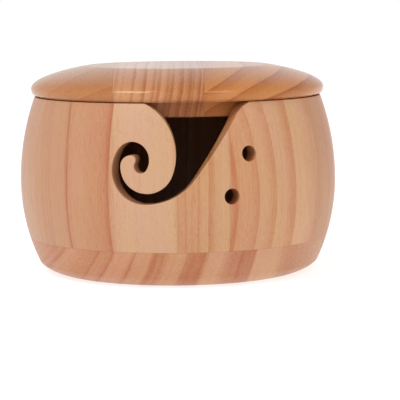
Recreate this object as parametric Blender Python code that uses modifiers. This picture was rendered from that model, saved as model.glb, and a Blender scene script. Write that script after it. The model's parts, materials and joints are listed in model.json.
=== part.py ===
"""Lidded yarn bowl in pine: a ring of glued staves on a turned base, with a lift-off lid of three boards.

The front staves are cut by a scroll-shaped yarn slot and by two small holes for parking a crochet hook.
Lengths in the lists below are millimetres, and MM turns them into scene units. The bowl stands on z = 0
with its axis on Z. Bearings are degrees round the axis from the front (-Y), positive towards +X.
"""
import math

import bmesh
import bpy
from mathutils import Matrix, Vector

MM = 0.001

# Bowl wall: outside it is two arcs that meet at the belly, inside it is the same curve one wall further in
BELLY_RADIUS = 75.0
BELLY_HEIGHT = 43.0
UPPER_ARC = 115.0
LOWER_ARC = 89.0
WALL = 8.0
RIM_HEIGHT = 83.0
RIM_EASE = 1.0
JOINT_HEIGHT = 16.8
GLUE_GAP = 0.3

# Staves: the seams beside the slot stand where the boards fell, and the rest share what is left evenly
FRONT_SEAMS = (-42.1, -24.4, -0.2, 18.5)
EVEN_STAVES = 15
FACET_ANGLE = 4.0

# Base: one disc, dished inside and rounded under the edge
FOOT_RADIUS = 56.5
FOOT_SHOULDER = 5.5
FOOT_FULLNESS = 1.48
DISH_FLOOR = 9.0
DISH_FILLET = 7.5

# Lid: flat top, soft shoulder, an overhanging edge and a plug that drops into the mouth
LID_REST = RIM_HEIGHT + GLUE_GAP
LID_TOP = 97.3
LID_FLAT_RADIUS = 44.5
LID_WIDE_RADIUS = 69.4
LID_WIDE_HEIGHT = 88.2
LID_EDGE_RADIUS = 67.4
LID_FULLNESS = 1.46
PLUG_CLEARANCE = 0.5
PLUG_FOOT = 76.2
PLUG_EASE = 0.8
LID_SEAMS = (-28.7, 12.0)
TURN_FACETS = 72

# Yarn slot, walked along its edge on the belly circle, as (arc length across, height) points.
# Each leg is (radius, turn): a left turn is positive, and a turn of 0 makes it a straight of that length.
SLOT_START = (42.4, 83.8)
SLOT_HEADING = 180.0
SLOT_LEGS = (
    (17.6, 52.5),
    (34.1, 0.0),
    (28.4, -52.5),
    (15.5, -122.7),
    (8.1, -177.9),
    (3.1, -179.4),
    (2.1, 110.0),
    (4.6, 100.0),
    (12.3, 157.2),
    (24.1, 97.0),
)
SLOT_STEP = 9.0
CUT_FROM = 50.0
CUT_TO = 95.0
CUT_TOP = 90.0

# Hook holes, drilled square to the wall: (bearing, height)
HOOK_HOLES = (("upper", 25.5, 60.4), ("lower", 18.6, 41.8))
HOOK_HOLE_RADIUS = 3.5
HOLE_FACETS = 24

# Finish: planed and turned pine, rubbed with clear oil
PALE_PINE = (0.69, 0.41, 0.23)
TAN_PINE = (0.62, 0.34, 0.17)
ROSY_PINE = (0.60, 0.30, 0.17)
BASE_PINE = (0.55, 0.26, 0.15)
LID_PINE = (0.50, 0.24, 0.11)
OILED_ROUGHNESS = 0.5
POLISHED_ROUGHNESS = 0.35


def clear_scene():
    for old in list(bpy.data.objects):
        bpy.data.objects.remove(old, do_unlink=True)


def make_collection(name):
    group = bpy.data.collections.new(name)
    bpy.context.scene.collection.children.link(group)
    return group


def make_wood(name, colour, roughness):
    wood = bpy.data.materials.new(name)
    wood.use_nodes = True
    shader = wood.node_tree.nodes["Principled BSDF"]
    shader.inputs["Base Color"].default_value = (*colour, 1.0)
    shader.inputs["Roughness"].default_value = roughness
    shader.inputs["Metallic"].default_value = 0.0
    wood.diffuse_color = (*colour, 1.0)
    return wood


def place(bearing, radius, height):
    """The scene point at a bearing, a distance from the axis and a height, all in degrees and millimetres."""
    turn = math.radians(bearing)
    return Vector((radius * math.sin(turn), -radius * math.cos(turn), height)) * MM


def add_object(name, bm, group, material=None):
    mesh = bpy.data.meshes.new(name)
    bm.to_mesh(mesh)
    bm.free()
    piece = bpy.data.objects.new(name, mesh)
    group.objects.link(piece)
    if material:
        mesh.materials.append(material)
    return piece


def smooth(piece):
    piece.data.shade_smooth()
    piece.data.set_sharp_from_angle(angle=math.radians(35))


def outer_radius(height):
    arc = UPPER_ARC if height > BELLY_HEIGHT else LOWER_ARC
    return BELLY_RADIUS - arc + math.sqrt(arc ** 2 - (height - BELLY_HEIGHT) ** 2)


def side_points(low, high, steps, inset=0.0):
    """Points up the bowl's side, that far inside its outer surface."""
    heights = [low + (high - low) * step / steps for step in range(steps + 1)]
    return [(outer_radius(height) - inset, height) for height in heights]


def arc_points(centre, radius, start, end, steps):
    """Points on an arc in a profile, from one angle to another in degrees."""
    points = []
    for step in range(steps + 1):
        angle = math.radians(start + (end - start) * step / steps)
        points.append((centre[0] + radius * math.cos(angle), centre[1] + radius * math.sin(angle)))
    return points


def shoulder_points(start, end, fullness, steps, flat_first):
    """A soft corner between a flat and an upright: a superellipse quarter from start to end."""
    points = []
    for step in range(1, steps):
        angle = math.radians(90.0 * step / steps)
        across = math.sin(angle) ** (2.0 / fullness)
        along = 1.0 - math.cos(angle) ** (2.0 / fullness)
        shares = (across, along) if flat_first else (along, across)
        points.append((start[0] + (end[0] - start[0]) * shares[0], start[1] + (end[1] - start[1]) * shares[1]))
    return points


def stave_profile():
    """The wall's closed section, up the outside, over the eased rim and down the inside."""
    foot = JOINT_HEIGHT + GLUE_GAP / 2
    ease_height = RIM_HEIGHT - RIM_EASE
    outside = side_points(foot, ease_height, 12)
    inside = side_points(foot, ease_height, 9, inset=WALL)
    inside.reverse()
    outer_ease = arc_points((outside[-1][0] - RIM_EASE, ease_height), RIM_EASE, 30, 90, 2)
    inner_ease = arc_points((inside[0][0] + RIM_EASE, ease_height), RIM_EASE, 90, 150, 2)
    return outside + outer_ease + inner_ease + inside


def add_stave(name, start, end, group, material):
    """One stave: the wall's section swept from one seam to the next, less the glue line."""
    half_gap = math.degrees(GLUE_GAP / 2 / BELLY_RADIUS)
    sweep = end - start - 2 * half_gap
    bm = bmesh.new()
    section = [bm.verts.new(place(start + half_gap, *point)) for point in stave_profile()]
    face = bm.faces.new(section)
    bmesh.ops.spin(
        bm, geom=[face, *face.edges, *face.verts], cent=(0, 0, 0), axis=(0, 0, 1),
        angle=math.radians(sweep), steps=max(3, round(sweep / FACET_ANGLE)), use_duplicate=False,
    )
    bmesh.ops.recalc_face_normals(bm, faces=bm.faces)
    stave = add_object(name, bm, group, material)
    smooth(stave)
    return stave


def seam_bearings():
    """The bearing of every seam, once round from the first of the front seams."""
    first, last = FRONT_SEAMS[0], FRONT_SEAMS[-1]
    even = (first + 360.0 - last) / EVEN_STAVES
    return list(FRONT_SEAMS) + [last + even * count for count in range(1, EVEN_STAVES + 1)]


def add_turned(name, profile, group, material):
    """A turned piece: its half section, down the outer side from the axis to the axis, with a live Screw."""
    bm = bmesh.new()
    spots = [bm.verts.new(Vector((radius, 0.0, height)) * MM) for radius, height in profile]
    for upper, lower in zip(spots[:-1], spots[1:]):
        bm.edges.new((upper, lower))
    piece = add_object(name, bm, group, material)
    turn = piece.modifiers.new("turn", "SCREW")
    turn.axis = "Z"
    turn.angle = math.tau
    turn.steps = TURN_FACETS
    turn.render_steps = TURN_FACETS
    turn.use_merge_vertices = True
    turn.merge_threshold = 0.00002
    turn.use_smooth_shade = True
    return piece


def base_profile():
    dish_edge = outer_radius(JOINT_HEIGHT) - WALL
    top = JOINT_HEIGHT - GLUE_GAP / 2
    fillet_centre = (dish_edge - DISH_FILLET, DISH_FLOOR + DISH_FILLET)
    dish = arc_points(fillet_centre, DISH_FILLET, -90, 0, 6)
    side = side_points(FOOT_SHOULDER, top, 3)
    side.reverse()
    shoulder = shoulder_points(
        (outer_radius(FOOT_SHOULDER), FOOT_SHOULDER), (FOOT_RADIUS, 0.0), FOOT_FULLNESS, 8, flat_first=False
    )
    return [(0.0, DISH_FLOOR)] + dish + side + shoulder + [(FOOT_RADIUS, 0.0), (0.0, 0.0)]


def lid_profile():
    plug_radius = outer_radius(RIM_HEIGHT) - WALL - PLUG_CLEARANCE
    shoulder = shoulder_points(
        (LID_FLAT_RADIUS, LID_TOP), (LID_WIDE_RADIUS, LID_WIDE_HEIGHT), LID_FULLNESS, 10, flat_first=True
    )
    edge = shoulder_points(
        (LID_WIDE_RADIUS, LID_WIDE_HEIGHT), (LID_EDGE_RADIUS, LID_REST), 2.0, 4, flat_first=False
    )
    ease = arc_points((plug_radius - PLUG_EASE, PLUG_FOOT + PLUG_EASE), PLUG_EASE, 0, -90, 2)
    top = [(0.0, LID_TOP), (LID_FLAT_RADIUS, LID_TOP)]
    rim = [(LID_WIDE_RADIUS, LID_WIDE_HEIGHT)]
    under = [(LID_EDGE_RADIUS, LID_REST), (plug_radius, LID_REST)]
    return top + shoulder + rim + edge + under + ease + [(0.0, PLUG_FOOT)]


def slot_outline():
    """The slot's edge as points, found by walking its legs."""
    spot = Vector(SLOT_START)
    heading = math.radians(SLOT_HEADING)
    points = [spot.copy()]
    for radius, turn in SLOT_LEGS:
        if turn == 0.0:
            spot = spot + Vector((math.cos(heading), math.sin(heading))) * radius
            points.append(spot.copy())
            continue
        steps = max(2, round(abs(turn) / SLOT_STEP))
        side = math.copysign(math.pi / 2, turn)
        centre = spot + Vector((math.cos(heading + side), math.sin(heading + side))) * radius
        for step in range(1, steps + 1):
            spoke = heading - side + math.radians(turn) * step / steps
            points.append(centre + Vector((math.cos(spoke), math.sin(spoke))) * radius)
        spot = points[-1].copy()
        heading += math.radians(turn)
    points.append(Vector((spot.x, CUT_TOP)))
    points.append(Vector((SLOT_START[0], CUT_TOP)))
    return points


def add_slot_cutter(group):
    """A block in the slot's outline whose sides run straight out from the bowl's axis."""
    bearings = [(math.degrees(point.x / BELLY_RADIUS), point.y) for point in slot_outline()]
    bm = bmesh.new()
    inner = bm.faces.new([bm.verts.new(place(bearing, CUT_FROM, height)) for bearing, height in bearings])
    pushed = bmesh.ops.extrude_face_region(bm, geom=[inner])
    stretch = CUT_TO / CUT_FROM
    for vert in (item for item in pushed["geom"] if isinstance(item, bmesh.types.BMVert)):
        vert.co.x *= stretch
        vert.co.y *= stretch
    bmesh.ops.recalc_face_normals(bm, faces=bm.faces)
    return hide_cutter(add_object("slot_cutter", bm, group))


def add_hole_cutter(name, bearing, height, group):
    """A drill through the wall, square to the axis."""
    bm = bmesh.new()
    middle = place(bearing, BELLY_RADIUS - WALL / 2, height)
    lay = Matrix.Rotation(math.radians(bearing), 4, "Z") @ Matrix.Rotation(math.radians(90), 4, "X")
    bmesh.ops.create_cone(
        bm, cap_ends=True, segments=HOLE_FACETS, radius1=HOOK_HOLE_RADIUS * MM, radius2=HOOK_HOLE_RADIUS * MM,
        depth=4 * WALL * MM, matrix=Matrix.Translation(middle) @ lay,
    )
    return hide_cutter(add_object(name, bm, group))


def add_board_cutter(name, left, right, group):
    """A tall slab that keeps one board's share of the lid."""
    bm = bmesh.new()
    span = Vector((right - left, 3 * BELLY_RADIUS, 2 * LID_TOP)) * MM
    middle = Vector(((left + right) / 2, 0.0, LID_TOP)) * MM
    bmesh.ops.create_cube(bm, size=1.0, matrix=Matrix.Translation(middle) @ Matrix.Diagonal((*span, 1.0)))
    return hide_cutter(add_object(name, bm, group))


def hide_cutter(cutter):
    cutter.hide_render = True
    cutter.display_type = "WIRE"
    return cutter


def cut(piece, cutter, operation="DIFFERENCE"):
    saw = piece.modifiers.new(cutter.name, "BOOLEAN")
    saw.operation = operation
    saw.solver = "EXACT"
    saw.object = cutter


def add_staves(group, cutters):
    """The wall's ring of staves, with the slot and the holes cut in those that they cross."""
    woods = [
        make_wood("pine_rosy", ROSY_PINE, OILED_ROUGHNESS),
        make_wood("pine_pale", PALE_PINE, OILED_ROUGHNESS),
        make_wood("pine_tan", TAN_PINE, OILED_ROUGHNESS),
    ]
    slot = add_slot_cutter(cutters)
    holes = {
        name: add_hole_cutter(f"{name}_hole_cutter", bearing, height, cutters)
        for name, bearing, height in HOOK_HOLES
    }
    crossed = {1: [slot], 2: [slot, holes["lower"]], 3: [slot, holes["lower"], holes["upper"]]}
    seams = seam_bearings()
    for number, (start, end) in enumerate(zip(seams[:-1], seams[1:])):
        stave = add_stave(f"stave_{number + 1:02d}", start, end, group, woods[number % len(woods)])
        for cutter in crossed.get(number, []):
            cut(stave, cutter)


def add_base(group):
    add_turned("base_disc", base_profile(), group, make_wood("pine_base", BASE_PINE, OILED_ROUGHNESS))


def add_lid(group, cutters):
    """Three boards glued edge to edge and turned as one, riding on an empty at the lid's lift axis."""
    wood = make_wood("pine_lid", LID_PINE, POLISHED_ROUGHNESS)
    lift = bpy.data.objects.new("lid_lift_axis", None)
    group.objects.link(lift)
    reach = 2 * BELLY_RADIUS
    half_gap = GLUE_GAP / 2
    left_seam, right_seam = LID_SEAMS
    boards = (
        ("lid_board_left", -reach, left_seam - half_gap),
        ("lid_board_middle", left_seam + half_gap, right_seam - half_gap),
        ("lid_board_right", right_seam + half_gap, reach),
    )
    for name, left, right in boards:
        board = add_turned(name, lid_profile(), group, wood)
        board.parent = lift
        cut(board, add_board_cutter(f"{name}_cutter", left, right, cutters), operation="INTERSECT")


def main():
    clear_scene()
    parts = make_collection("yarn_bowl")
    cutters = make_collection("cutters")
    add_base(parts)
    add_staves(parts, cutters)
    add_lid(parts, cutters)


main()
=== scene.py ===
import json
import math
import random

import bmesh
import bpy
from mathutils import Euler, Matrix, Vector


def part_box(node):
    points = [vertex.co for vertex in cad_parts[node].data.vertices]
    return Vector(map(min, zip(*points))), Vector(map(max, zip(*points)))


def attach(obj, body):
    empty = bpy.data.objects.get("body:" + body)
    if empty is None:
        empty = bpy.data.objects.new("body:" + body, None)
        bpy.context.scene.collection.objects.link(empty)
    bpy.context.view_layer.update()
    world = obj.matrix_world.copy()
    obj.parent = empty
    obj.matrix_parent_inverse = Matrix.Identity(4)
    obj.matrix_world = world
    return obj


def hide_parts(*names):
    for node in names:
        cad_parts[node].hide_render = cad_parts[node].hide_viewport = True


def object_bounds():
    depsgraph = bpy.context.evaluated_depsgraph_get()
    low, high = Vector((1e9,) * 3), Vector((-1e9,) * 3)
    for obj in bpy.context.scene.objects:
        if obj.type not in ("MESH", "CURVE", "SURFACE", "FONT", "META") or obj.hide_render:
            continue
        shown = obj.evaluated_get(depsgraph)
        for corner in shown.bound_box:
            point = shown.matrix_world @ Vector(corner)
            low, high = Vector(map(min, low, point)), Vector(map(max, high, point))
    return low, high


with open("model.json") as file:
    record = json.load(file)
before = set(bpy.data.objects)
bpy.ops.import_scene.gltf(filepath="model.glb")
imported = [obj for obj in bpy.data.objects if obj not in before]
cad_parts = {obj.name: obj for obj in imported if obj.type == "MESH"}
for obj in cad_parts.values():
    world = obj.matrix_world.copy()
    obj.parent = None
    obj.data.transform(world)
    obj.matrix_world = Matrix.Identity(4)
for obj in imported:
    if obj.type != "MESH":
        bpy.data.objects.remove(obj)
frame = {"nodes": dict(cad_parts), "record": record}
cad_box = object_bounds()

bl_info = {
    "name": "Lidded yarn bowl",
    "version": (1, 0, 0),
    "blender": (4, 5, 0),
    "location": "View3D > Sidebar > Yarn bowl",
    "description": "A staved pine yarn bowl with a scroll slot, hook holes and a lift-off lid",
    "category": "Object",
}

# Bearings are degrees round the bowl's axis from the front (-Y), positive towards +X.
# Lengths in the lists below are millimetres, and MM turns them into scene units.
MM = 0.001
SLOTS = {row["slot"]: row for row in frame["record"]["materials"]}
CAD_STAVES = sorted(name for name in frame["nodes"] if name.startswith("stave_"))
CAD_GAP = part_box("stave_01")[0].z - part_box("base_disc")[1].z

# Seams between staves: four fell unevenly at the front, and the rest share what is left
FRONT_SEAMS = (-42.1, -24.4, -0.2, 18.5)
EVEN_STAVES = len(CAD_STAVES) + 1 - len(FRONT_SEAMS)
EVEN_STEP = (360.0 + FRONT_SEAMS[0] - FRONT_SEAMS[-1]) / EVEN_STAVES
SEAMS = FRONT_SEAMS + tuple(FRONT_SEAMS[-1] + EVEN_STEP * count for count in range(1, EVEN_STAVES + 1))
CUT_STAVES = ("stave_02", "stave_03", "stave_04")
NARROW_STAVE = "stave_01"

# The yarn slot's edge is walked on the belly circle, as (arc length across, height) points, with one about
# every SLOT_STEP degrees. Each leg is (radius, turn): a left turn is positive, and a turn of 0 is a straight
# of that length. The outline closes above the rim, at SLOT_TOP.
SLOT_START = (42.4, 83.8)
SLOT_HEADING = 180.0
SLOT_LEGS = (
    (17.6, 52.5),
    (34.1, 0.0),
    (28.4, -52.5),
    (15.5, -122.7),
    (8.1, -177.9),
    (3.1, -179.4),
    (2.1, 110.0),
    (4.6, 100.0),
    (12.3, 157.2),
    (24.1, 97.0),
)
SLOT_STEP = 4.0
SLOT_TOP = 95.0

# Hook holes, bored towards the axis: (bearing, height)
HOOK_HOLES = ((25.5, 60.4), (18.6, 41.8))

# Where the lid's two glue lines lie across it
LID_SEAMS = {"left": -28.7 * MM, "right": 12.0 * MM}

# Faces that meet at less than this many degrees are shaded smooth
SMOOTH_ANGLE = 32.0

# Steps round each turned piece
BASE_STEPS = 144
LID_STEPS = 180


# ---- sizes and colours


def colour_of(slot):
    """A slot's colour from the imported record, as the linear values that a shader takes."""
    return [channel ** 2.2 for channel in SLOTS[slot]["base_color"][:3]]


def length(name, description, default):
    return bpy.props.FloatProperty(
        name=name, description=description, default=default, unit="LENGTH", precision=5
    )


def amount(name, description, default, unit="NONE"):
    return bpy.props.FloatProperty(name=name, description=description, default=default, unit=unit)


def shade(name, description, default):
    return bpy.props.FloatVectorProperty(
        name=name, description=description, default=default, subtype="COLOR", size=3, min=0.0, max=1.0
    )


class BowlSizes(bpy.types.PropertyGroup):
    """Sizes of the staved wall and the turned base."""

    belly_radius: length("Belly radius", "Radius of the wall at its widest", cad_box[1].x)
    belly_height: length("Belly height", "Height of the widest part above the underside", 43.0 * MM)
    upper_arc: length("Upper arc", "Radius of the wall's curve above the belly", 115.0 * MM)
    lower_arc: length("Lower arc", "Radius of the wall's curve below the belly", 89.0 * MM)
    wall: length("Wall", "Thickness of a stave", 8.0 * MM)
    rim_height: length("Rim height", "Height of the mouth's rim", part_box("stave_01")[1].z)
    joint_height: length(
        "Joint height", "Height of the joint between wall and base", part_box("stave_01")[0].z - CAD_GAP / 2
    )
    seam_gap: length("Seam gap", "Open width of a glue line", 0.05 * MM)
    outer_ease: length("Outer easing", "Rounding of the slot and the rim outside", 0.35 * MM)
    inner_ease: length("Inner easing", "Rounding of the slot and the rim inside", 0.9 * MM)
    hole_radius: length("Hook hole radius", "Radius of the hook holes", 3.5 * MM)
    hole_ease: length("Hook hole easing", "Rounding of the hook holes' edges", 0.3 * MM)
    cell: length("Cell", "Width of the mesh's cells along the wall", 2.2 * MM)
    foot_radius: length("Foot radius", "Radius of the flat underside", 56.5 * MM)
    foot_shoulder: length("Foot shoulder", "Height where the side starts to round under", 5.5 * MM)
    foot_fullness: amount("Foot fullness", "Power of the foot's rounding", 1.48)
    dish_floor: length("Dish floor", "Height of the floor inside", 9.0 * MM)
    dish_fillet: length("Dish fillet", "Radius between the floor and the wall inside", 7.5 * MM)


class LidSizes(bpy.types.PropertyGroup):
    """Sizes of the lid and its plug."""

    rest: length("Rest height", "Height of the lid's underside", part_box("stave_01")[1].z + CAD_GAP)
    top: length("Top height", "Height of the lid's flat top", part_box("lid_board_middle")[1].z)
    flat_radius: length("Flat radius", "Radius of the flat top", 43.0 * MM)
    wide_radius: length("Widest radius", "Radius of the lid at its widest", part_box("lid_board_right")[1].x)
    wide_height: length("Widest height", "Height of the lid's widest part", 86.8 * MM)
    edge_radius: length("Edge radius", "Radius where the edge meets the underside", 67.4 * MM)
    edge_ease: length("Edge easing", "Rounding of the lid's lower edge", 0.4 * MM)
    fullness: amount("Fullness", "Power of the shoulder's rounding where it leaves the flat top", 1.12)
    end_fullness: amount("End fullness", "Power of the rounding at the widest part and under it", 2.0)
    plug_clearance: length("Plug clearance", "Gap between the plug and the mouth", 0.5 * MM)
    plug_foot: length("Plug foot", "Height of the plug's underside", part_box("lid_board_middle")[0].z)
    plug_ease: length("Plug easing", "Rounding of the plug's lower edge", 0.8 * MM)


class PineFinish(bpy.types.PropertyGroup):
    """Colours of the pine and how it is finished."""

    pale: shade("Pale pine", "Colour of the palest staves", colour_of("pine_pale"))
    tan: shade("Tan pine", "Colour of the tan staves", colour_of("pine_tan"))
    rosy: shade("Rosy pine", "Colour of the rosy staves", colour_of("pine_rosy"))
    base: shade("Base pine", "Colour of the base disc", colour_of("pine_base"))
    lid: shade("Lid pine", "Colour of the lid", colour_of("pine_lid"))
    oiled: amount("Oiled roughness", "Roughness of the bowl", 0.42)
    polished: amount("Polished roughness", "Roughness of the lid", 0.3)


class StageSettings(bpy.types.PropertyGroup):
    """Floor, lights and camera."""

    floor: shade("Floor", "Colour of the floor", (0.42, 0.42, 0.42))
    glow: amount("Floor glow", "Light that the floor gives off", 0.76)
    sky: amount("Sky", "Strength of the light from the horizon", 0.96)
    ceiling: amount("Ceiling", "Strength of the light from overhead", 0.45)
    key: amount("Key light", "Power of the key light", 8.0, unit="POWER")
    fill: amount("Fill light", "Power of the fill light", 2.4, unit="POWER")
    distance: length("Camera distance", "How far in front of the axis the camera stands", 900.0 * MM)
    eye_side: length("Eye side", "How far to the right of the axis the camera stands", 0.6 * MM)
    eye_height: length("Eye height", "Height of the camera above the floor", 135.1 * MM)
    tilt: amount("Tilt", "How many degrees the camera looks down", 6.514)
    turn: amount("Turn", "How many degrees the camera turns to its left", -0.622)
    roll: amount("Roll", "How many degrees the camera rolls", -0.486)
    lens: amount("Lens", "Focal length", 170.0, unit="CAMERA")


def sizes():
    return bpy.context.scene.yarn_bowl_sizes


def lid_sizes():
    return bpy.context.scene.yarn_bowl_lid


def finish():
    return bpy.context.scene.yarn_bowl_finish


def stage():
    return bpy.context.scene.yarn_bowl_stage


# ---- shapes


def outer_radius(height):
    """Radius of the bowl's outside at a height."""
    bowl = sizes()
    arc = bowl.upper_arc if height > bowl.belly_height else bowl.lower_arc
    return bowl.belly_radius - arc + math.sqrt(arc ** 2 - (height - bowl.belly_height) ** 2)


def place(bearing, radius, height):
    """The point at a bearing, a distance from the axis and a height."""
    turn = math.radians(bearing)
    return Vector((radius * math.sin(turn), -radius * math.cos(turn), height))


def leave_edit():
    if bpy.context.object and bpy.context.object.mode != "OBJECT":
        bpy.ops.object.mode_set(mode="OBJECT")


def clear_selection():
    leave_edit()
    bpy.ops.object.select_all(action="DESELECT")


def select_only(piece):
    clear_selection()
    piece.select_set(True)
    bpy.context.view_layer.objects.active = piece


def apply_place(piece):
    select_only(piece)
    bpy.ops.object.transform_apply(location=True, rotation=True, scale=True)


def pick_edges(piece, test):
    """In edit mode, selects the edges that pass the test, and says how many there are."""
    bpy.ops.mesh.select_mode(type="EDGE")
    bpy.ops.mesh.select_all(action="DESELECT")
    bm = bmesh.from_edit_mesh(piece.data)
    chosen = [edge for edge in bm.edges if test(edge)]
    for edge in chosen:
        edge.select_set(True)
    bm.select_flush_mode()
    bmesh.update_edit_mesh(piece.data)
    return len(chosen)


def add_board(name, left, right, foot, top):
    """A flat board as thick as the wall: x is arc length along the belly, y is depth from the outside."""
    clear_selection()
    thickness = sizes().wall
    middle = ((left + right) / 2, thickness / 2, (foot + top) / 2)
    bpy.ops.mesh.primitive_cube_add(size=1.0, location=middle)
    board = bpy.context.object
    board.name = name
    board.scale = (right - left, thickness, top - foot)
    apply_place(board)
    return board


def slot_outline():
    """The slot's edge as points, found by walking its legs."""
    spot = Vector(SLOT_START)
    heading = math.radians(SLOT_HEADING)
    points = [spot.copy()]
    for radius, turn in SLOT_LEGS:
        if turn == 0.0:
            spot = spot + Vector((math.cos(heading), math.sin(heading))) * radius
            points.append(spot.copy())
            continue
        steps = max(2, round(abs(turn) / SLOT_STEP))
        side = math.copysign(math.pi / 2, turn)
        centre = spot + Vector((math.cos(heading + side), math.sin(heading + side))) * radius
        for step in range(1, steps + 1):
            spoke = heading - side + math.radians(turn) * step / steps
            points.append(centre + Vector((math.cos(spoke), math.sin(spoke))) * radius)
        spot = points[-1].copy()
        heading += math.radians(turn)
    points.append(Vector((spot.x, SLOT_TOP)))
    points.append(Vector((SLOT_START[0], SLOT_TOP)))
    return points


def add_slot_saw():
    """A block in the slot's outline that passes through the flat board."""
    points = slot_outline()
    thickness = sizes().wall
    clear_selection()
    bpy.ops.mesh.primitive_circle_add(vertices=len(points), radius=thickness, fill_type="NGON")
    saw = bpy.context.object
    for vert, point in zip(saw.data.vertices, points):
        vert.co = (point.x * MM, -thickness, point.y * MM)
    bpy.ops.object.mode_set(mode="EDIT")
    bpy.ops.mesh.select_all(action="SELECT")
    bpy.ops.mesh.extrude_region_move(TRANSFORM_OT_translate={"value": (0, 3 * thickness, 0)})
    bpy.ops.mesh.select_all(action="SELECT")
    bpy.ops.mesh.normals_make_consistent(inside=False)
    leave_edit()
    return saw


def add_drill(bearing, height):
    """A drill through the flat board."""
    bowl = sizes()
    clear_selection()
    bpy.ops.mesh.primitive_cylinder_add(
        vertices=64, radius=bowl.hole_radius, depth=3 * bowl.wall, rotation=(math.pi / 2, 0, 0),
        location=(math.radians(bearing) * bowl.belly_radius, bowl.wall / 2, height * MM),
    )
    drill = bpy.context.object
    apply_place(drill)
    return drill


def cut(piece, tool):
    """Cuts the tool's shape out of a piece and throws the tool away."""
    select_only(piece)
    saw = piece.modifiers.new("saw", "BOOLEAN")
    saw.operation = "DIFFERENCE"
    saw.solver = "EXACT"
    saw.object = tool
    bpy.ops.object.modifier_apply(modifier=saw.name)
    bpy.data.objects.remove(tool, do_unlink=True)


def near(value, target):
    """Whether two lengths are the same, to a hundredth of a millimetre."""
    return abs(value - target) < 0.01 * MM


def ease_edges(board, left, right, foot):
    """Rounds the slot's edges and the rim, then the holes' edges, outside and inside."""
    bowl = sizes()
    drills = [(math.radians(bearing) * bowl.belly_radius, height * MM) for bearing, height in HOOK_HOLES]

    def round_drill(edge):
        """Whether an edge lies on a hook hole's circle."""
        middle = (edge.verts[0].co + edge.verts[1].co) / 2
        reaches = [math.hypot(middle.x - x, middle.z - z) for x, z in drills]
        return min(reaches) < 1.02 * bowl.hole_radius

    def arris(edge, depth):
        """Whether an edge at that depth is a square corner, and isn't at a seam or the foot."""
        if not all(near(vert.co.y, depth) for vert in edge.verts) or len(edge.link_faces) != 2:
            return False
        if abs(edge.link_faces[0].normal.dot(edge.link_faces[1].normal)) > 0.1:
            return False
        return not any(all(near(vert.co[axis], end) for vert in edge.verts)
                       for axis, end in ((0, left), (0, right), (2, foot)))

    bpy.ops.object.mode_set(mode="EDIT")
    for depth, ease, drilled in (
        (0.0, bowl.outer_ease, False), (bowl.wall, bowl.inner_ease, False),
        (0.0, bowl.hole_ease, True), (bowl.wall, bowl.hole_ease, True),
    ):
        if pick_edges(board, lambda edge: arris(edge, depth) and round_drill(edge) == drilled):
            bpy.ops.mesh.bevel(
                offset=ease, segments=2 if drilled else 5, profile=0.5, clamp_overlap=False
            )
    leave_edit()


def slice_board(board, axis, low, high, cell):
    """Cuts a board across into even cells, so that it can follow the wall's curve."""
    count = max(2, round((high - low) / cell))
    bpy.ops.object.mode_set(mode="EDIT")
    for step in range(1, count):
        bpy.ops.mesh.select_all(action="SELECT")
        bpy.ops.mesh.bisect(
            plane_co=Vector(axis) * (low + (high - low) * step / count), plane_no=axis, use_fill=False,
            clear_inner=False, clear_outer=False, threshold=0.00001,
        )
    leave_edit()


def trim(piece, point, normal):
    """Saws off what lies on the normal's side and closes the cut."""
    select_only(piece)
    bpy.ops.object.mode_set(mode="EDIT")
    bpy.ops.mesh.select_all(action="SELECT")
    bpy.ops.mesh.bisect(plane_co=point, plane_no=normal, use_fill=True, clear_outer=True, threshold=0.000001)
    leave_edit()


def copy_piece(piece, name):
    """A copy of a piece with its own mesh."""
    twin = piece.copy()
    twin.data = piece.data.copy()
    twin.name = name
    bpy.context.scene.collection.objects.link(twin)
    return twin


def bend_board(board):
    """Wraps a flat board round the bowl and pulls it in to the wall's profile."""
    belly = sizes().belly_radius
    for vert in board.data.vertices:
        across, depth, height = vert.co
        vert.co = place(math.degrees(across / belly), outer_radius(height) - depth, height)
    board.data.update()


def polish(piece):
    """Merges doubles, turns the faces outwards and shades smooth between sharp edges."""
    select_only(piece)
    bpy.ops.object.mode_set(mode="EDIT")
    bpy.ops.mesh.select_all(action="SELECT")
    bpy.ops.mesh.remove_doubles(threshold=0.000002)
    bpy.ops.mesh.normals_make_consistent(inside=False)
    leave_edit()
    bpy.ops.object.shade_smooth_by_angle(angle=math.radians(SMOOTH_ANGLE))
    even = piece.modifiers.new("even", "WEIGHTED_NORMAL")
    even.keep_sharp = True
    bpy.ops.object.modifier_apply(modifier=even.name)


def shoulder_points(start, end, steps, flat_first, fullness, end_fullness):
    """A soft corner between a flat and an upright: a superellipse quarter from start to end.

    A fullness of 2 is an ellipse's, and less of it turns more tightly at the start or the end.
    """
    points = []
    for step in range(1, steps):
        angle = math.radians(90.0 * step / steps)
        across = math.sin(angle) ** (2.0 / fullness)
        along = 1.0 - math.cos(angle) ** (2.0 / end_fullness)
        shares = (across, along) if flat_first else (along, across)
        points.append(tuple(first + (last - first) * share
                            for first, last, share in zip(start, end, shares)))
    return points


def arc_points(centre, radius, start, end, steps):
    """Points on an arc from one angle to another, in degrees from the right."""
    points = []
    for step in range(steps + 1):
        angle = math.radians(start + (end - start) * step / steps)
        points.append((centre[0] + radius * math.cos(angle), centre[1] + radius * math.sin(angle)))
    return points


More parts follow.
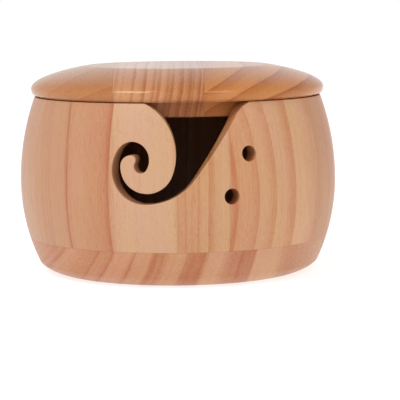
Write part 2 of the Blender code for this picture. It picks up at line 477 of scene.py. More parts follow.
def turn_piece(name, profile, steps):
    """A turned piece: one point is drawn along the half section, then spun round the axis."""
    clear_selection()
    bpy.ops.mesh.primitive_plane_add(size=0.001)
    piece = bpy.context.object
    piece.name = name
    bpy.ops.object.mode_set(mode="EDIT")
    bpy.ops.mesh.select_mode(type="VERT")
    bpy.ops.mesh.select_all(action="SELECT")
    bpy.ops.mesh.merge(type="CENTER")
    bpy.ops.transform.translate(value=(profile[0][0], 0.0, profile[0][1]))
    for before, after in zip(profile[:-1], profile[1:]):
        bpy.ops.mesh.extrude_region_move(
            TRANSFORM_OT_translate={"value": (after[0] - before[0], 0.0, after[1] - before[1])}
        )
    bpy.ops.mesh.select_all(action="SELECT")
    bpy.ops.mesh.spin(steps=steps, angle=math.tau, center=(0, 0, 0), axis=(0, 0, 1), use_auto_merge=True)
    bpy.ops.mesh.select_all(action="SELECT")
    bpy.ops.mesh.remove_doubles(threshold=0.00001)
    bpy.ops.mesh.normals_make_consistent(inside=False)
    leave_edit()
    return piece


# ---- pine


# The wood's noises: (mm across the grain, mm along it, shift, detail, roughness)
GRAIN = {
    "wander": (24.0, 60.0, 0.0, 1.5, 0.5),
    "waver": (4.0, 26.0, 3.0, 2.0, 0.5),
    "patch": (16.0, 55.0, 11.0, 2.0, 0.5),
    "fibre": (0.8, 20.0, 5.0, 3.0, 0.6),
    "hair": (0.3, 5.0, 9.0, 2.0, 0.6),
    "pores": (0.45, 3.2, 21.0, 1.0, 0.5),
    "blotch": (18.0, 30.0, 17.0, 3.0, 0.5),
    "hue": (14.0, 50.0, 31.0, 3.0, 0.5),
}
# How far a noise moves a ring, in millimetres, or darkens the wood
STRENGTH = {
    "wander": 1.8, "waver": 0.8, "bands": 0.42, "fibre": 0.7, "hair": 0.75, "pores": 0.45, "blotch": 0.34,
}
SEED_SHIFT = 7.31
BANDS_PER_MM = 0.5
PATCH_LEAST, PATCH_SPAN = 0.55, 0.9
PORE_LEVEL, PORE_SHARPNESS = 0.62, 6.0
HUE_LEVEL, HUE_SHARPNESS = 0.35, 3.0
AMBER = [1.0, 0.995, 0.89, 1.0]
ROSY = [1.0, 0.95, 1.01, 1.0]
ROUGHNESS_SPAN = 0.10
FIBRE_BUMP, HAIR_BUMP = 0.6, 0.4
BUMP_STRENGTH, BUMP_DISTANCE = 0.06, 0.4 * MM

# How a ring darkens towards its sharp end, and where along it the line takes points
RING_POWER = 1.6
RING_SHARES = (0.0, 0.35, 0.6, 0.8, 0.98)

# How each finish shines
OILED = {"coat": 0.12, "coat_roughness": 0.25, "shine": 0.4}
POLISHED = {"coat": 0.43, "coat_roughness": 0.08, "shine": 0.12}

# The share of each colour left by painted shade inside the bowl and on its sawn faces, where the wood has no
# coat
INSIDE_PAINTED_SHADE = [0.82, 0.7, 0.61, 1.0]
# The share of each colour left on the plug, by painted shade under the lid's overhang and by the end grain's
# darker tone
PLUG_PAINTED_SHADE_AND_END_GRAIN = [0.92, 0.88, 0.95, 1.0]
# How deep behind the outside a stave loses its coat and takes painted shade, in millimetres, and how sharply
# the plug does
UNCOATED_SHADE_DEPTH = 0.6
UNCOATED_SHADE_SHARPNESS = 3.0
# Turns a height above the belly into a switch from 0 to 1
SWITCH = 1000.0


class Wire:
    """A shader socket that can be used in sums."""

    def __init__(self, bench, socket):
        self.bench = bench
        self.socket = socket

    def maths(self, operation, *others, clamp=False):
        settings = {"operation": operation, "use_clamp": clamp}
        return self.bench.node("ShaderNodeMath", settings, [self, *others])

    def __add__(self, other):
        return self.maths("ADD", other)

    __radd__ = __add__

    def __mul__(self, other):
        return self.maths("MULTIPLY", other)

    __rmul__ = __mul__

    def __sub__(self, other):
        return self.maths("SUBTRACT", other)

    def __rsub__(self, other):
        return self.bench.node("ShaderNodeMath", {"operation": "SUBTRACT"}, [other, self])

    def __truediv__(self, other):
        return self.maths("DIVIDE", other)

    def __pow__(self, other):
        return self.maths("POWER", other)

    def clamped(self):
        return self.maths("ADD", 0.0, clamp=True)

    def swing(self, strength):
        """Noise as an even swing to both sides of nothing."""
        return (self - 0.5) * strength


class Bench:
    """Builds one material's nodes."""

    def __init__(self, name):
        self.material = bpy.data.materials.new(name)
        self.material.use_nodes = True
        self.tree = self.material.node_tree
        self.shader = self.tree.nodes["Principled BSDF"]

    def node(self, kind, settings=None, values=(), output=0):
        """Adds a node: its settings first, then a value or a link for each input that is given."""
        made = self.tree.nodes.new(kind)
        for setting, value in (settings or {}).items():
            setattr(made, setting, value)
        pairs = values.items() if isinstance(values, dict) else enumerate(values)
        for key, value in pairs:
            self.feed(made.inputs[key], value)
        return Wire(self, made.outputs[output])

    def feed(self, socket, value):
        if isinstance(value, Wire):
            self.tree.links.new(value.socket, socket)
        else:
            socket.default_value = value

    def curve(self, factor, points):
        """A value read off a line through (position, value) points, both from 0 to 1."""
        made = self.node("ShaderNodeFloatCurve", {}, {"Value": factor})
        mapping = made.socket.node.mapping
        line = mapping.curves[0]
        while len(line.points) < len(points):
            line.points.new(0.5, 0.5)
        for point, spot in zip(line.points, points):
            point.location = spot
            point.handle_type = "VECTOR"
        mapping.update()
        return made

    def noise(self, where, detail, roughness, dimensions="3D"):
        key = "W" if dimensions == "1D" else "Vector"
        return self.node(
            "ShaderNodeTexNoise", {"noise_dimensions": dimensions},
            {key: where, "Scale": 1.0, "Detail": detail, "Roughness": roughness},
        )

    def dot(self, where, direction):
        settings = {"operation": "DOT_PRODUCT"}
        return self.node("ShaderNodeVectorMath", settings, [where, direction], output="Value")

    def mix(self, share, first, second, blend="MIX"):
        """Mixes two colours, whose sockets are told apart only by number."""
        made = self.node("ShaderNodeMix", {"data_type": "RGBA", "blend_type": blend}, {0: share}, output=2)
        node = made.socket.node
        self.feed(node.inputs[6], first)
        self.feed(node.inputs[7], second)
        return made


class Board:
    """How one board was sawn from its log: where its rings run, and how dark they are.

    along is the grain's direction and across is the direction out from the pith at the anchor point.
    curve is the distance to the pith and lean is how far the rings drift sideways along the grain.
    levels are (distance, darkness) pairs of the slow changes across the rings, and each ring is
    (distance where its dark wood starts, distance where it ends sharply, darkness), in millimetres.
    sharpness is the distance in which a ring's dark end fades out.
    """

    def __init__(self, anchor, along, across, curve, lean, seed):
        self.anchor = Vector(anchor)
        self.along = Vector(along).normalized()
        self.across = Vector(across).normalized()
        self.side = self.along.cross(self.across)
        self.curve = curve
        self.lean = lean
        self.seed = seed
        self.levels = ()
        self.rings = ()
        self.sharpness = 0.25

    def distance(self, spot):
        """How far out from the anchor's ring a spot lies, in millimetres."""
        offset = (spot - self.anchor) / MM
        out = offset.dot(self.across) + self.curve
        return math.hypot(out, offset.dot(self.side)) - self.curve + self.lean * offset.dot(self.along)

    def mark(self, spot_of, levels, rings):
        """Places levels and rings that are given by where they show, through spot_of."""
        self.levels = sorted((self.distance(spot_of(where)), value) for where, value in levels)
        self.rings = [(self.distance(spot_of(start)), self.distance(spot_of(stop)), depth)
                      for start, stop, depth in rings]

    def darkness(self, distance):
        """The wood's darkness at a distance, from 0 to 1."""
        level = self.levels[0][1] if distance < self.levels[0][0] else self.levels[-1][1]
        for (low, first), (high, second) in zip(self.levels[:-1], self.levels[1:]):
            if low <= distance < high:
                level = first + (second - first) * (distance - low) / (high - low)
        for start, stop, depth in self.rings:
            share = (distance - start) / (stop - start)
            if 0.0 <= share <= 1.0:
                level += depth * share ** RING_POWER
        return min(1.0, max(0.0, level))

    def line(self):
        """Points of the darkness, close enough to follow every ring, with the span that they cover."""
        ends = [where for where, value in self.levels]
        ends += [end for start, stop, depth in self.rings for end in (start, stop)]
        low, high = min(ends) - 1.0, max(ends) + 1.0
        spots = {low, high}
        for where, value in self.levels:
            spots.add(where)
        for start, stop, depth in self.rings:
            way = math.copysign(self.sharpness, stop - start)
            spots |= {start + (stop - start) * share for share in RING_SHARES}
            spots.add(stop + way)
        spots = sorted(spots)
        return low, high, [((spot - low) / (high - low), self.darkness(spot)) for spot in spots]


def uncoated_shade_inside(bench, spot):
    """How far a stave has no coat and takes painted shade at a spot: 0 on the turned outside, 1 on its sawn
    faces and inside.
    """
    bowl = sizes()
    x, y, z = (bench.node("ShaderNodeSeparateXYZ", {}, [spot], output=axis) / MM for axis in "XYZ")
    above = z - bowl.belly_height / MM
    lower, upper = bowl.lower_arc / MM, bowl.upper_arc / MM
    arc = (above * SWITCH).clamped() * (upper - lower) + lower
    outside = (arc * arc - above * above) ** 0.5 - arc + bowl.belly_radius / MM
    return (outside - (x * x + y * y) ** 0.5 - UNCOATED_SHADE_DEPTH).clamped()


def uncoated_shade_under(bench, spot):
    """How far a lid board has no coat and is darkened, by painted shade under the lid's overhang and its end
    grain's darker tone, at a spot: 0 above the rim, 1 on the plug.
    """
    height = bench.node("ShaderNodeSeparateXYZ", {}, [spot], output="Z") / MM
    return ((lid_sizes().rest / MM - height) * UNCOATED_SHADE_SHARPNESS).clamped()


def shaded(tone, share):
    """A tone's colours at a share, as a colour socket takes them."""
    return [*(min(1.0, channel * part) for channel, part in zip(tone, share)), 1.0]


def pine(name, board, tone, deep, roughness, gloss, bare=None, shade_share=None):
    """Solid pine: growth rings through the board, fine streaks along its grain and a soft sheen.

    deep is the share of the tone left in the darkest wood. The last two arguments make the mask of where the
    wood has no coat and is darkened by painted shade, and give the share of each colour left there.
    """
    bench = Bench(name)
    spot = bench.node("ShaderNodeTexCoord", output="Object")
    offset = bench.node("ShaderNodeVectorMath", {"operation": "SUBTRACT"}, [spot, board.anchor])
    out = bench.dot(offset, board.across / MM)
    side = bench.dot(offset, board.side / MM)
    run = bench.dot(offset, board.along / MM)
    reach = out + board.curve
    ring = (reach * reach + side * side) ** 0.5 - board.curve + run * board.lean

    def grain(kind):
        """One of the noises, stretched along this board's grain."""
        across, along, shift, detail, roughness = GRAIN[kind]
        where = bench.node("ShaderNodeCombineXYZ", {}, [
            out / across + (board.seed * SEED_SHIFT + shift), side / across, run / along,
        ])
        return bench.noise(where, detail, roughness)

    bent = ring + grain("wander").swing(STRENGTH["wander"]) + grain("waver").swing(STRENGTH["waver"])
    low, high, points = board.line()
    rings = bench.curve((bent - low) / (high - low), points)
    bands = bench.noise(bent * BANDS_PER_MM + board.seed, 3.0, 0.6, dimensions="1D")
    fibre = grain("fibre")
    hair = grain("hair")
    pores = ((grain("pores") - PORE_LEVEL) * PORE_SHARPNESS).clamped()
    darkness = rings * (grain("patch") * PATCH_SPAN + PATCH_LEAST) + bands.swing(STRENGTH["bands"])
    darkness = darkness + fibre.swing(STRENGTH["fibre"]) + hair.swing(STRENGTH["hair"])
    darkness = darkness + pores * STRENGTH["pores"] + grain("blotch").swing(STRENGTH["blotch"])
    colour = bench.mix(darkness.clamped(), [*tone, 1.0], shaded(tone, deep))
    coat = gloss["coat"]
    # Painted shade: where the mask is on, the colour is darkened by the given share and the coat is taken off
    if bare:
        uncoated_shade = bare(bench, spot)
        colour = bench.mix(uncoated_shade, colour, bench.mix(1.0, colour, shade_share, "MULTIPLY"))
        coat = (1.0 - uncoated_shade) * coat
    amber = bench.mix(1.0, colour, AMBER, "MULTIPLY")
    rosy = bench.mix(1.0, colour, ROSY, "MULTIPLY")
    colour = bench.mix(((grain("hue") - HUE_LEVEL) * HUE_SHARPNESS).clamped(), amber, rosy)
    bump = bench.node("ShaderNodeBump", {}, {
        "Height": fibre * FIBRE_BUMP + hair * HAIR_BUMP, "Strength": BUMP_STRENGTH, "Distance": BUMP_DISTANCE,
    })
    inputs = bench.shader.inputs
    bench.feed(inputs["Base Color"], colour)
    bench.feed(inputs["Roughness"], fibre * ROUGHNESS_SPAN + (roughness - ROUGHNESS_SPAN / 2))
    bench.feed(inputs["Normal"], bump)
    bench.feed(inputs["Coat Weight"], coat)
    inputs["Coat Roughness"].default_value = gloss["coat_roughness"]
    inputs["Specular IOR Level"].default_value = gloss["shine"]
    return bench.material


# The share of the tone left in a stave's darkest wood
STAVE_DEEP = (0.80, 0.50, 0.36)

# How the staves round the front were sawn: the rings' outward direction in degrees, the distance to the
# pith in mm, the lean, the slow levels as (bearing, darkness), the rings as (start, sharp end, darkness)
# by bearing, and the stave's own share of its slot's colour
SHOWN_STAVES = {
    "stave_17": (
        -50.0, 90.0, 0.01, ((-82.0, 0.1), (-70.0, 0.2), (-62.1, 0.1)),
        ((-78.0, -74.0, 0.3),), (0.725, 0.666, 0.696),
    ),
    "stave_18": (
        -26.0, 90.0, 0.02, ((-62.1, 0.05), (-55.0, 0.2), (-50.0, 0.0), (-43.4, 0.08)),
        ((-56.0, -51.0, 0.2), (-43.8, -42.0, 1.0)), (0.8, 0.76, 0.77),
    ),
    "stave_01": (
        -26.0, 120.0, 0.017,
        ((-42.1, 0.85), (-41.2, 0.2), (-39.5, 0.02), (-34.0, 0.13), (-30.5, 0.25), (-26.0, 0.3)),
        ((-28.0, -24.2, 0.75),), (0.855, 0.865, 0.809),
    ),
    "stave_02": (
        -8.0, 150.0, 0.02, ((-24.4, 0.6), (-22.0, 0.15), (-19.0, 0.02), (-3.0, 0.0)),
        ((-3.0, -0.4, 0.45),), (0.818, 0.828, 0.921),
    ),
    "stave_03": (
        4.0, 150.0, 0.0, ((-0.2, 0.5), (4.0, 0.36), (9.0, 0.24), (10.5, 0.2), (14.0, 0.15), (16.0, 0.0)),
        ((14.0, 10.4, 0.6), (3.2, 2.2, 0.3), (5.2, 4.2, 0.25), (8.2, 6.6, 0.35), (16.4, 18.5, 0.6)),
        (0.912, 0.959, 0.902),
    ),
    "stave_04": (
        50.2, 70.0, 0.035, ((18.5, 0.5), (20.7, 0.95), (21.7, 0.35), (24.0, 0.3), (30.0, 0.18), (38.5, 0.08)),
        ((18.3, 20.6, 0.35), (24.0, 28.6, 0.5), (30.0, 35.9, 0.62)), (0.988, 1.107, 1.026),
    ),
    "stave_05": (
        39.2, 80.0, 0.023, ((38.5, 0.15), (44.0, 0.3), (45.8, 0.0), (58.4, 0.1)),
        ((39.0, 45.2, 0.45), (50.0, 58.2, 0.55)), (0.884, 0.855, 0.861),
    ),
    "stave_06": (
        53.5, 90.0, 0.01, ((58.4, 0.0), (64.0, 0.05), (78.4, 0.25)),
        ((66.0, 70.0, 0.3),), (0.81, 0.7, 0.59),
    ),
}

# The base's levels and rings where its front edge cuts them, in mm across from the axis
BASE_LEVELS = (
    (-65.0, 0.7), (-55.0, 0.6), (-52.5, 0.5), (-42.0, 0.62), (-35.0, 0.5), (-31.0, 0.5), (-28.0, 0.33),
    (-20.0, 0.4), (-14.2, 0.4), (-12.5, 0.8), (-7.0, 0.65), (-5.2, 0.3), (0.5, 0.26), (3.0, 0.75),
    (10.5, 0.85), (12.6, 0.15), (19.0, 0.15), (22.0, 0.45), (28.0, 0.75), (33.3, 0.78), (34.5, 0.05),
    (44.0, 0.03), (49.0, 0.58), (60.0, 0.4),
)
BASE_RINGS = (
    (-57.4, -54.8, 0.5), (-40.2, -37.8, 0.5), (-33.2, -31.2, 0.5), (-23.0, -20.8, 0.6), (-13.0, -10.6, 0.3),
    (26.0, 28.2, 0.15), (30.5, 33.4, 0.15),
)
# Where the base's pith lies, in mm across and up, and the share of the joint's height for its rings
BASE_PITH = (-107.5, 49.0)
BASE_READ_AT = 0.7
BASE_TINT = (1.09, 1.24, 1.18)
BASE_DEEP = (0.7, 0.41, 0.28)
BASE_SEED = 40

# The lid's boards: the middle one's levels and rings are in mm across at its widest height
LID_MIDDLE_LEVELS = (
    (-29.0, 0.1), (-23.0, 0.02), (-13.0, 0.05), (-9.0, 0.25), (-7.0, 0.02), (-5.0, 0.35), (-2.4, 0.4),
    (-1.7, 0.2), (4.0, 0.33), (12.0, 0.45),
)
LID_MIDDLE_RINGS = (
    (-27.0, -28.9, 0.55), (-26.2, -25.0, 0.25), (-22.4, -20.2, 0.75), (-18.0, -14.9, 0.85),
    (-12.6, -10.6, 0.65), (-10.4, -8.0, 0.65), (-6.2, -4.6, 0.4), (-5.0, -2.1, 0.6), (-1.8, 1.9, 0.95),
    (2.5, 5.6, 0.95), (5.0, 6.6, 0.4), (7.4, 9.9, 0.9), (10.2, 11.4, 0.7),
)
LID_MIDDLE_SHARPNESS = 0.6

# The right board's rings are evenly spaced, each a broad band that ends in a thin darker line
LID_RIGHT_LEVELS = ((-40.0, 0.05), (40.0, 0.05))
LID_PITH = (119.9, -97.4)
LID_RING_START = 3.7
LID_RING_STEP = 8.2
LID_RING_COUNTS = range(-5, 5)
LID_BAND = (0.9 * LID_RING_STEP, 0.75)
LID_LINE = (1.5, 0.3)

LID_LEFT_LEVELS = ((-30.0, 0.25), (-5.0, 0.1), (20.0, 0.25))
LID_LEFT_RINGS = ((-24.0, -14.0, 0.2), (-13.0, -5.0, 0.2), (-4.0, 8.0, 0.15))

LID_TINTS = {"left": (1.0, 0.89, 0.66), "middle": (1.17, 1.17, 1.1), "right": (1.17, 1.0, 0.6)}
LID_DEEP = (0.64, 0.41, 0.24)
LID_SEEDS = {"left": 52, "middle": 50, "right": 51}


def guessed_stave(start, end, draw):
    """A stave out of sight from the front: its own rings, a few degrees apart."""
    turn = (start + end) / 2 + draw.uniform(-35.0, 35.0)
    curve = draw.uniform(60.0, 140.0)
    lean = draw.uniform(-0.04, 0.04)
    levels = [(start, draw.uniform(0.0, 0.3)), (end, draw.uniform(0.0, 0.3))]
    flip = draw.choice((True, False))
    rings = []
    bearing = start + draw.uniform(-2.0, 3.0)
    while bearing < end:
        step = draw.uniform(3.5, 8.0)
        ring = (bearing, bearing + step * 0.85)
        rings.append((*(reversed(ring) if flip else ring), draw.uniform(0.25, 0.65)))
        bearing += step
    tint = [draw.uniform(0.9, 1.0) for channel in range(3)]
    return turn, curve, lean, levels, rings, tint


def slot_of(node):
    """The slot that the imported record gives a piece."""
    return next(row["material_slot"] for row in frame["record"]["subparts"] if row["node"] == node)


def tone_of(slot, tint):
    """A slot's colour at the share of it that one board has."""
    return [channel * share for channel, share in zip(getattr(finish(), slot.replace("pine_", "")), tint)]


def stave_wood(node):
    """A stave's pine, with the grain upright."""
    bowl = sizes()
    number = int(node[-2:])
    start, end = SEAMS[number - 1], SEAMS[number]
    sawn = guessed_stave(start, end, random.Random(number))
    turn, curve, lean, levels, rings, tint = SHOWN_STAVES.get(node, sawn)
    across = Vector((math.cos(math.radians(turn)), math.sin(math.radians(turn)), 0.0))
    anchor = place((start + end) / 2, bowl.belly_radius, bowl.belly_height)
    board = Board(anchor, (0, 0, 1), across, curve, lean, number)
    board.mark(lambda bearing: place(bearing, bowl.belly_radius, bowl.belly_height), levels, rings)
    # Inside the bowl and on its sawn faces the stave is darkened by painted shade and has no coat
    return pine(f"{slot_of(node)}_{number:02d}", board, tone_of(slot_of(node), tint), STAVE_DEEP,
                finish().oiled, OILED, bare=uncoated_shade_inside, shade_share=INSIDE_PAINTED_SHADE)


def front_spot(across, radius, height):
    """The point on a turned edge's front that lies that many millimetres across from the axis."""
    return Vector((across * MM, -math.sqrt(max(0.0, radius ** 2 - (across * MM) ** 2)), height))


def base_wood():
    """The base's pine, with the grain from front to back."""
    bowl = sizes()
    height = bowl.joint_height * BASE_READ_AT
    anchor = Vector((0.0, 0.0, height))
    across = anchor - Vector((BASE_PITH[0], 0.0, BASE_PITH[1])) * MM
    board = Board(anchor, (0, 1, 0), across, across.length / MM, 0.0, BASE_SEED)
    board.mark(lambda spot: front_spot(spot, bowl.belly_radius, height), BASE_LEVELS, BASE_RINGS)
    return pine("pine_base_disc", board, tone_of("pine_base", BASE_TINT), BASE_DEEP, finish().oiled, OILED)


def lid_wood(side):
    """One lid board's pine, with the grain from front to back."""
    lid = lid_sizes()
    seed = LID_SEEDS[side]
    if side == "middle":
        board = Board((0, 0, lid.wide_height), (0, 1, 0), (1, 0, -0.12), 160.0, 0.0, seed)
        board.sharpness = LID_MIDDLE_SHARPNESS
        board.mark(lambda spot: front_spot(spot, lid.wide_radius, lid.wide_height),
                   LID_MIDDLE_LEVELS, LID_MIDDLE_RINGS)
    elif side == "right":
        anchor = Vector((40 * MM, 0.0, lid.top))
        across = anchor - Vector((LID_PITH[0], 0.0, LID_PITH[1])) * MM
        board = Board(anchor, (0, 1, 0), across, across.length / MM, 0.0, seed)
        board.levels = LID_RIGHT_LEVELS
        stops = [LID_RING_START + LID_RING_STEP * count for count in LID_RING_COUNTS]
        board.rings = [(stop - width, stop, depth) for width, depth in (LID_BAND, LID_LINE) for stop in stops]
    else:
        board = Board((-50 * MM, 0, lid.top), (0, 1, 0), (-0.5, 0, 1.0), 90.0, 0.0, seed)
        board.levels = LID_LEFT_LEVELS
        board.rings = LID_LEFT_RINGS
    # On the plug the board is darkened by painted shade under the lid's overhang and by its end grain's
    # darker tone, and has no coat
    return pine(f"pine_lid_{side}", board, tone_of("pine_lid", LID_TINTS[side]), LID_DEEP,
                finish().polished, POLISHED, bare=uncoated_shade_under, shade_share=PLUG_PAINTED_SHADE_AND_END_GRAIN)


# ---- operators


def fit_out(piece, node, body, wood):
    """Gives a finished piece its wood and its place in the frame."""
    piece.data.materials.clear()
    piece.data.materials.append(wood)
    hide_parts(node)
    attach(piece, body)


class YARNBOWL_OT_cut_staves(bpy.types.Operator):
    """Makes the three front staves, with the scroll slot and the hook holes sawn through them"""

    bl_idname = "yarnbowl.cut_staves"
    bl_label = "Cut staves"

    def execute(self, context):
        bowl = sizes()
        first = int(CUT_STAVES[0][-2:])
        edges = [math.radians(seam) * bowl.belly_radius for seam in SEAMS[first - 1:first + len(CUT_STAVES)]]
        foot = bowl.joint_height + bowl.seam_gap / 2
        slab = add_board("front_slab", edges[0], edges[-1], foot, bowl.rim_height)
        cut(slab, add_slot_saw())
        for hole in HOOK_HOLES:
            cut(slab, add_drill(*hole))
        ease_edges(slab, edges[0], edges[-1], foot)
        slice_board(slab, (0, 0, 1), foot, bowl.rim_height, bowl.cell)
        slice_board(slab, (1, 0, 0), edges[0], edges[-1], bowl.cell)
        half = bowl.seam_gap / 2
        for node, left, right in zip(CUT_STAVES, edges[:-1], edges[1:]):
            stave = copy_piece(slab, f"{node}_shaped")
            trim(stave, (left + half, 0, 0), (-1, 0, 0))
            trim(stave, (right - half, 0, 0), (1, 0, 0))
            bend_board(stave)
            polish(stave)
            fit_out(stave, node, "bowl", stave_wood(node))
        bpy.data.objects.remove(slab, do_unlink=True)
        return {"FINISHED"}


class YARNBOWL_OT_plain_staves(bpy.types.Operator):
    """Makes the plain staves: the narrow one beside the slot, and one that is copied round the bowl"""

    bl_idname = "yarnbowl.plain_staves"
    bl_label = "Plain staves"

    def make_plain(self, name, sweep):
        """A stave that spans that many degrees, centred on the front."""
        bowl = sizes()
        reach = math.radians(sweep / 2) * bowl.belly_radius - bowl.seam_gap / 2
        foot = bowl.joint_height + bowl.seam_gap / 2
        stave = add_board(name, -reach, reach, foot, bowl.rim_height)
        ease_edges(stave, -reach, reach, foot)
        slice_board(stave, (0, 0, 1), foot, bowl.rim_height, bowl.cell)
        slice_board(stave, (1, 0, 0), -reach, reach, bowl.cell)
        bend_board(stave)
        polish(stave)
        return stave

    def execute(self, context):
        even = self.make_plain("even_stave", EVEN_STEP)
        narrow = self.make_plain("narrow_stave", SEAMS[1] - SEAMS[0])
        for node in CAD_STAVES:
            if node in CUT_STAVES:
                continue
            number = int(node[-2:])
            stave = copy_piece(narrow if node == NARROW_STAVE else even, f"{node}_shaped")
            middle = (SEAMS[number - 1] + SEAMS[number]) / 2
            stave.data.transform(Matrix.Rotation(math.radians(middle), 4, "Z"))
            fit_out(stave, node, "bowl", stave_wood(node))
        for pattern in (even, narrow):
            bpy.data.objects.remove(pattern, do_unlink=True)
        return {"FINISHED"}


class YARNBOWL_OT_base(bpy.types.Operator):
    """Turns the base disc, dished inside and rounded under its edge"""

    bl_idname = "yarnbowl.base"
    bl_label = "Base disc"

    def execute(self, context):
        bowl = sizes()
        top = bowl.joint_height - bowl.seam_gap / 2
        dish_edge = outer_radius(top) - bowl.wall
        fillet = bowl.dish_fillet
        dish = arc_points((dish_edge - fillet, bowl.dish_floor + fillet), fillet, -90, 0, 14)
        side_steps = 8
        side = []
        for step in range(side_steps + 1):
            height = top + (bowl.foot_shoulder - top) * step / side_steps
            side.append((outer_radius(height), height))
        shoulder = shoulder_points(side[-1], (bowl.foot_radius, 0.0), 20, flat_first=False,
                                   fullness=bowl.foot_fullness, end_fullness=bowl.foot_fullness)
        # A fillet that ends below the joint has a straight rise above it
        lip = [(dish_edge, top)] if top - dish[-1][1] > bowl.seam_gap else []
        profile = [(0.0, bowl.dish_floor)] + dish + lip + side + shoulder
        profile += [(bowl.foot_radius, 0.0), (0.0, 0.0)]
        base = turn_piece("base_disc_shaped", profile, BASE_STEPS)
        polish(base)
        fit_out(base, "base_disc", "bowl", base_wood())
        return {"FINISHED"}


class YARNBOWL_OT_lid(bpy.types.Operator):
    """Turns the lid with its plug, and saws it into the three boards that it is glued from"""

    bl_idname = "yarnbowl.lid"
    bl_label = "Lid"

    def execute(self, context):
        bowl = sizes()
        lid = lid_sizes()
        plug = outer_radius(bowl.rim_height) - bowl.wall - lid.plug_clearance
        widest = (lid.wide_radius, lid.wide_height)
        shoulder = shoulder_points((lid.flat_radius, lid.top), widest, 30, flat_first=True,
                                   fullness=lid.fullness, end_fullness=lid.end_fullness)
        lip = shoulder_points(widest, (lid.edge_radius, lid.rest + lid.edge_ease * 0.7), 9, flat_first=False,
                              fullness=lid.end_fullness, end_fullness=lid.end_fullness)
        edge_centre = (lid.edge_radius - lid.edge_ease, lid.rest + lid.edge_ease)
        edge = arc_points(edge_centre, lid.edge_ease, -15, -90, 4)
        ease = arc_points((plug - lid.plug_ease, lid.plug_foot + lid.plug_ease), lid.plug_ease, 0, -90, 5)
        profile = [(0.0, lid.top), (lid.flat_radius * 0.5, lid.top), (lid.flat_radius, lid.top)]
        profile += shoulder + [widest] + lip + edge + [(plug, lid.rest)] + ease + [(0.0, lid.plug_foot)]
        blank = turn_piece("lid_blank", profile, LID_STEPS)
        half = bowl.seam_gap / 2
        saws = {
            "left": ((LID_SEAMS["left"] - half, (1, 0, 0)),),
            "middle": ((LID_SEAMS["left"] + half, (-1, 0, 0)), (LID_SEAMS["right"] - half, (1, 0, 0))),
            "right": ((LID_SEAMS["right"] + half, (-1, 0, 0)),),
        }
        for side, cuts in saws.items():
            board = copy_piece(blank, f"lid_board_{side}_shaped")
            for where, normal in cuts:
                trim(board, (where, 0, 0), normal)
            polish(board)
            fit_out(board, f"lid_board_{side}", "lid", lid_wood(side))
        bpy.data.objects.remove(blank, do_unlink=True)
        return {"FINISHED"}


# Where each soft light hangs, in scene units, its size, and what both of them face
KEY_PLACE, KEY_SIZE = (-0.64, -0.68, 1.12), (0.5, 0.5)
FILL_PLACE, FILL_SIZE = (0.60, -0.76, 1.05), (0.4, 0.5)
LIT_MIDDLE = (0.0, 0.0, 0.05)
FLOOR_RADIUS = 4.0
FLOOR_HEIGHT = -0.2 * MM
WHITE = (1.0, 1.0, 1.0, 1.0)
# How far up the sky starts to fade, from 0 at the horizon to 1 overhead
FADE_FROM = 0.1
NEAREST, FARTHEST = 0.01, 20.0


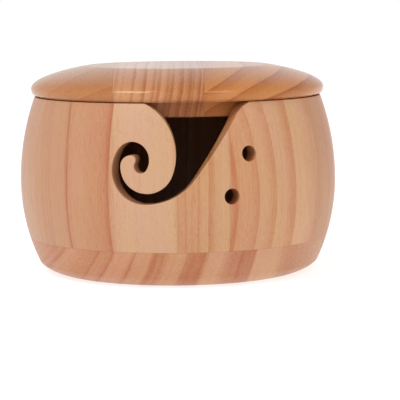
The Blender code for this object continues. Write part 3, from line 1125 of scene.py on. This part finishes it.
class YARNBOWL_OT_stage(bpy.types.Operator):
    """Sets the pale floor, the soft lights and the camera"""

    bl_idname = "yarnbowl.stage"
    bl_label = "Stage"

    def add_floor(self, look):
        clear_selection()
        bpy.ops.mesh.primitive_circle_add(
            vertices=96, radius=FLOOR_RADIUS, fill_type="NGON", location=(0, 0, FLOOR_HEIGHT)
        )
        floor = bpy.context.object
        floor.name = "studio_floor"
        bench = Bench("floor_white")
        inputs = bench.shader.inputs
        inputs["Base Color"].default_value = (*look.floor, 1.0)
        inputs["Roughness"].default_value = 0.9
        inputs["Specular IOR Level"].default_value = 0.1
        inputs["Emission Color"].default_value = WHITE
        inputs["Emission Strength"].default_value = look.glow
        floor.data.materials.append(bench.material)

    def add_soft_light(self, name, where, size, power):
        bpy.ops.object.light_add(type="AREA", location=where)
        lamp = bpy.context.object
        lamp.name = name
        lamp.data.shape = "RECTANGLE"
        lamp.data.size, lamp.data.size_y = size
        lamp.data.energy = power
        lamp.rotation_euler = (Vector(where) - Vector(LIT_MIDDLE)).to_track_quat("Z", "Y").to_euler()

    def add_sky(self, look):
        """A white backdrop whose light fades from the horizon to the ceiling."""
        sky = bpy.data.worlds.new("studio_sky")
        sky.use_nodes = True
        nodes, link = sky.node_tree.nodes, sky.node_tree.links.new
        even = nodes["Background"]
        even.inputs["Color"].default_value = WHITE
        toward = nodes.new("ShaderNodeTexCoord")
        split = nodes.new("ShaderNodeSeparateXYZ")
        fade = nodes.new("ShaderNodeMapRange")
        fade.inputs["From Min"].default_value = FADE_FROM
        fade.inputs["To Min"].default_value = look.sky
        fade.inputs["To Max"].default_value = look.ceiling
        link(toward.outputs["Generated"], split.inputs["Vector"])
        link(split.outputs["Z"], fade.inputs["Value"])
        # The camera sees the backdrop plain white, and only the light on the bowl fades
        rays = nodes.new("ShaderNodeLightPath")
        seen = nodes.new("ShaderNodeMapRange")
        seen.inputs["To Max"].default_value = 1.0
        link(fade.outputs["Result"], seen.inputs["To Min"])
        link(rays.outputs["Is Camera Ray"], seen.inputs["Value"])
        link(seen.outputs["Result"], even.inputs["Strength"])
        bpy.context.scene.world = sky

    def add_camera(self, look):
        bpy.ops.object.camera_add(location=(look.eye_side, -look.distance, look.eye_height))
        camera = bpy.context.object
        camera.name = "front_camera"
        aim = Euler((math.radians(90.0 - look.tilt), 0.0, math.radians(look.turn))).to_matrix()
        camera.rotation_euler = (aim @ Matrix.Rotation(math.radians(look.roll), 3, "Z")).to_euler()
        camera.data.lens = look.lens
        camera.data.sensor_width = 36.0
        camera.data.clip_start, camera.data.clip_end = NEAREST, FARTHEST
        bpy.context.scene.camera = camera

    def execute(self, context):
        look = stage()
        self.add_floor(look)
        self.add_soft_light("key_softbox", KEY_PLACE, KEY_SIZE, look.key)
        self.add_soft_light("fill_softbox", FILL_PLACE, FILL_SIZE, look.fill)
        self.add_sky(look)
        self.add_camera(look)
        context.scene.view_settings.view_transform = "Standard"
        return {"FINISHED"}


STEPS = (YARNBOWL_OT_base, YARNBOWL_OT_cut_staves, YARNBOWL_OT_plain_staves,
         YARNBOWL_OT_lid, YARNBOWL_OT_stage)


class YARNBOWL_PT_panel(bpy.types.Panel):
    """Lists the bowl's pieces in the sidebar"""

    bl_label = "Yarn bowl"
    bl_space_type = "VIEW_3D"
    bl_region_type = "UI"
    bl_category = "Yarn bowl"

    def draw(self, context):
        for step in STEPS:
            self.layout.operator(step.bl_idname)


SETTINGS = {
    "yarn_bowl_sizes": BowlSizes,
    "yarn_bowl_lid": LidSizes,
    "yarn_bowl_finish": PineFinish,
    "yarn_bowl_stage": StageSettings,
}


def register():
    for group in SETTINGS.values():
        bpy.utils.register_class(group)
    for name, group in SETTINGS.items():
        setattr(bpy.types.Scene, name, bpy.props.PointerProperty(type=group))
    for step in (*STEPS, YARNBOWL_PT_panel):
        bpy.utils.register_class(step)


def unregister():
    for step in reversed((*STEPS, YARNBOWL_PT_panel)):
        bpy.utils.unregister_class(step)
    for name in SETTINGS:
        delattr(bpy.types.Scene, name)
    for group in reversed(SETTINGS.values()):
        bpy.utils.unregister_class(group)


def main():
    register()
    bpy.ops.yarnbowl.base()
    bpy.ops.yarnbowl.cut_staves()
    bpy.ops.yarnbowl.plain_staves()
    bpy.ops.yarnbowl.lid()
    bpy.ops.yarnbowl.stage()


if __name__ == "__main__":
    main()
